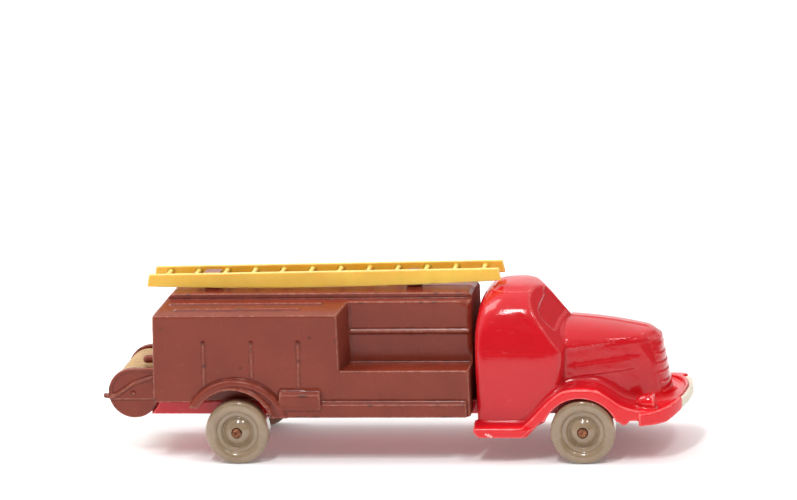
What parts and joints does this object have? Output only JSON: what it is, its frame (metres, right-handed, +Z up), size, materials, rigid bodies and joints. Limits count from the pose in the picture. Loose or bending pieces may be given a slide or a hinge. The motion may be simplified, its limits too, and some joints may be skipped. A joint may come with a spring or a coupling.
{
  "type": "toy fire engine",
  "caption": "Small moulded toy fire engine: bonneted cab, box body with open side bays, roof ladder on two pegs, rear hose reel and wheels on steel axles.",
  "frame": {"origin": "on the ground under the wheels, in the middle of the plan outline", "axes": "+X to the front of the vehicle, +Y to its left side, +Z up"},
  "size_m": [0.0962, 0.026, 0.0303],
  "materials": {
    "cab_red": "glossy moulded plastic",
    "body_brown": "satin moulded plastic",
    "ladder_yellow": "soft satin moulded plastic",
    "wheel_grey": "slightly translucent glossy moulded plastic",
    "steel": "drawn wire with rust on its cut ends",
    "hose_cream": "matt paint over moulded turns",
    "plate_cream": "worn matt paint"
  },
  "bodies": {
    "vehicle": {"chassis_frame": "cab_red", "cab_shell": "cab_red", "body_shell": "body_brown", "bumper_plate": "plate_cream", "front_axle_keeper": "cab_red", "rear_axle_keeper": "cab_red", "body_rivet_rear": "steel", "body_rivet_front": "steel", "cab_rivet_rear": "steel", "cab_rivet_front": "steel", "reel_side_left": "body_brown", "reel_side_right": "body_brown", "ladder_peg_rear": "body_brown", "ladder_peg_front": "body_brown"},
    "front_wheelset": {"front_axle": "steel", "wheel_front_left": "wheel_grey", "wheel_front_right": "wheel_grey"},
    "rear_wheelset": {"rear_axle": "steel", "wheel_rear_left": "wheel_grey", "wheel_rear_right": "wheel_grey"},
    "hose_reel": {"reel_drum": "body_brown", "hose_winding": "hose_cream", "reel_spindle": "steel"},
    "roof_ladder": {"ladder": "ladder_yellow"}
  },
  "joints": [
    {"name": "front_axle_spin", "type": "hinge", "parent": "vehicle", "child": "front_wheelset", "pos_m": [0.03105, 0, 0.00525], "axis": [0, 1, 0], "continuous": true},
    {"name": "rear_axle_spin", "type": "hinge", "parent": "vehicle", "child": "rear_wheelset", "pos_m": [-0.02535, 0, 0.00525], "axis": [0, 1, 0], "continuous": true},
    {"name": "hose_reel_spin", "type": "hinge", "parent": "vehicle", "child": "hose_reel", "pos_m": [-0.04315, 0, 0.0108], "axis": [0, 1, 0], "continuous": true},
    {"name": "ladder_lift", "type": "slide", "parent": "vehicle", "child": "roof_ladder", "axis": [0, 0, 1], "range_m": [0, 0.015]}
  ]
}
